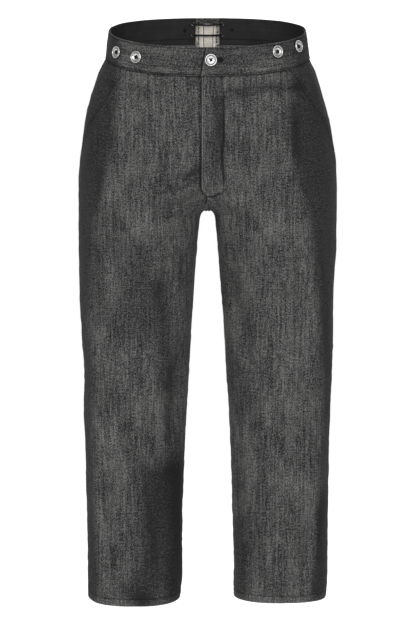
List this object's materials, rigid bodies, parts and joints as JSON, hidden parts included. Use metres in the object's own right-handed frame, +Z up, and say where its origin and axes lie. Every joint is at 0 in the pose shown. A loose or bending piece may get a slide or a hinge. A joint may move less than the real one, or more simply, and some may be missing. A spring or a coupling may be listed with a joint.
{
  "type": "high-waisted work trousers",
  "caption": "High-waisted denim work trousers in worn, hollow form, with a button fly, brace buttons, slanted side pockets and a laced gusset at the centre back.",
  "frame": {"origin": "middle of the waist opening, inside the waistband at half its height at the side seams", "axes": "+Z up, +X towards the wearer's left, -Y towards the front"},
  "size_m": [0.443, 0.275, 1.0074],
  "materials": {
    "denim": "faded black denim, slubby, with fine vertical streaks",
    "facing_cotton": "smooth near-black cotton",
    "gusset_cotton": "ecru wrong side of the denim inside, black outside, with frayed seam edges",
    "binding_cotton": "dark coarse cotton binding",
    "button_metal": "pressed white metal with a rounded rim and a dished middle",
    "eyelet_metal": "dull small metal eyelets",
    "black_thread": "waxed black linen thread",
    "black_lace": "braided black cotton lace"
  },
  "bodies": {
    "root": {"front_right": "denim", "front_left": "denim", "back_right": "denim", "back_left": "denim", "waistband_right": "denim", "waistband_left": "denim", "pocket_bearer_right": "denim", "pocket_bearer_left": "denim", "fly_facing": "denim", "fly_shield": "denim", "waistband_facing_right": "facing_cotton", "waistband_facing_left": "facing_cotton", "back_gusset": "gusset_cotton", "gusset_binding": "binding_cotton", "button_waist": "button_metal", "button_brace_front_right_inner": "button_metal", "button_brace_front_right_outer": "button_metal", "button_brace_front_left_inner": "button_metal", "button_brace_front_left_outer": "button_metal", "button_brace_back_right": "button_metal", "button_brace_back_left": "button_metal", "eyelet_right_upper": "eyelet_metal", "eyelet_right_lower": "eyelet_metal", "eyelet_left_upper": "eyelet_metal", "eyelet_left_lower": "eyelet_metal", "thread_waist": "black_thread", "thread_brace_front_right_inner": "black_thread", "thread_brace_front_right_outer": "black_thread", "thread_brace_front_left_inner": "black_thread", "thread_brace_front_left_outer": "black_thread", "thread_brace_back_right": "black_thread", "thread_brace_back_left": "black_thread", "lace": "black_lace", "lace_knot": "black_lace"}
  },
  "joints": []
}
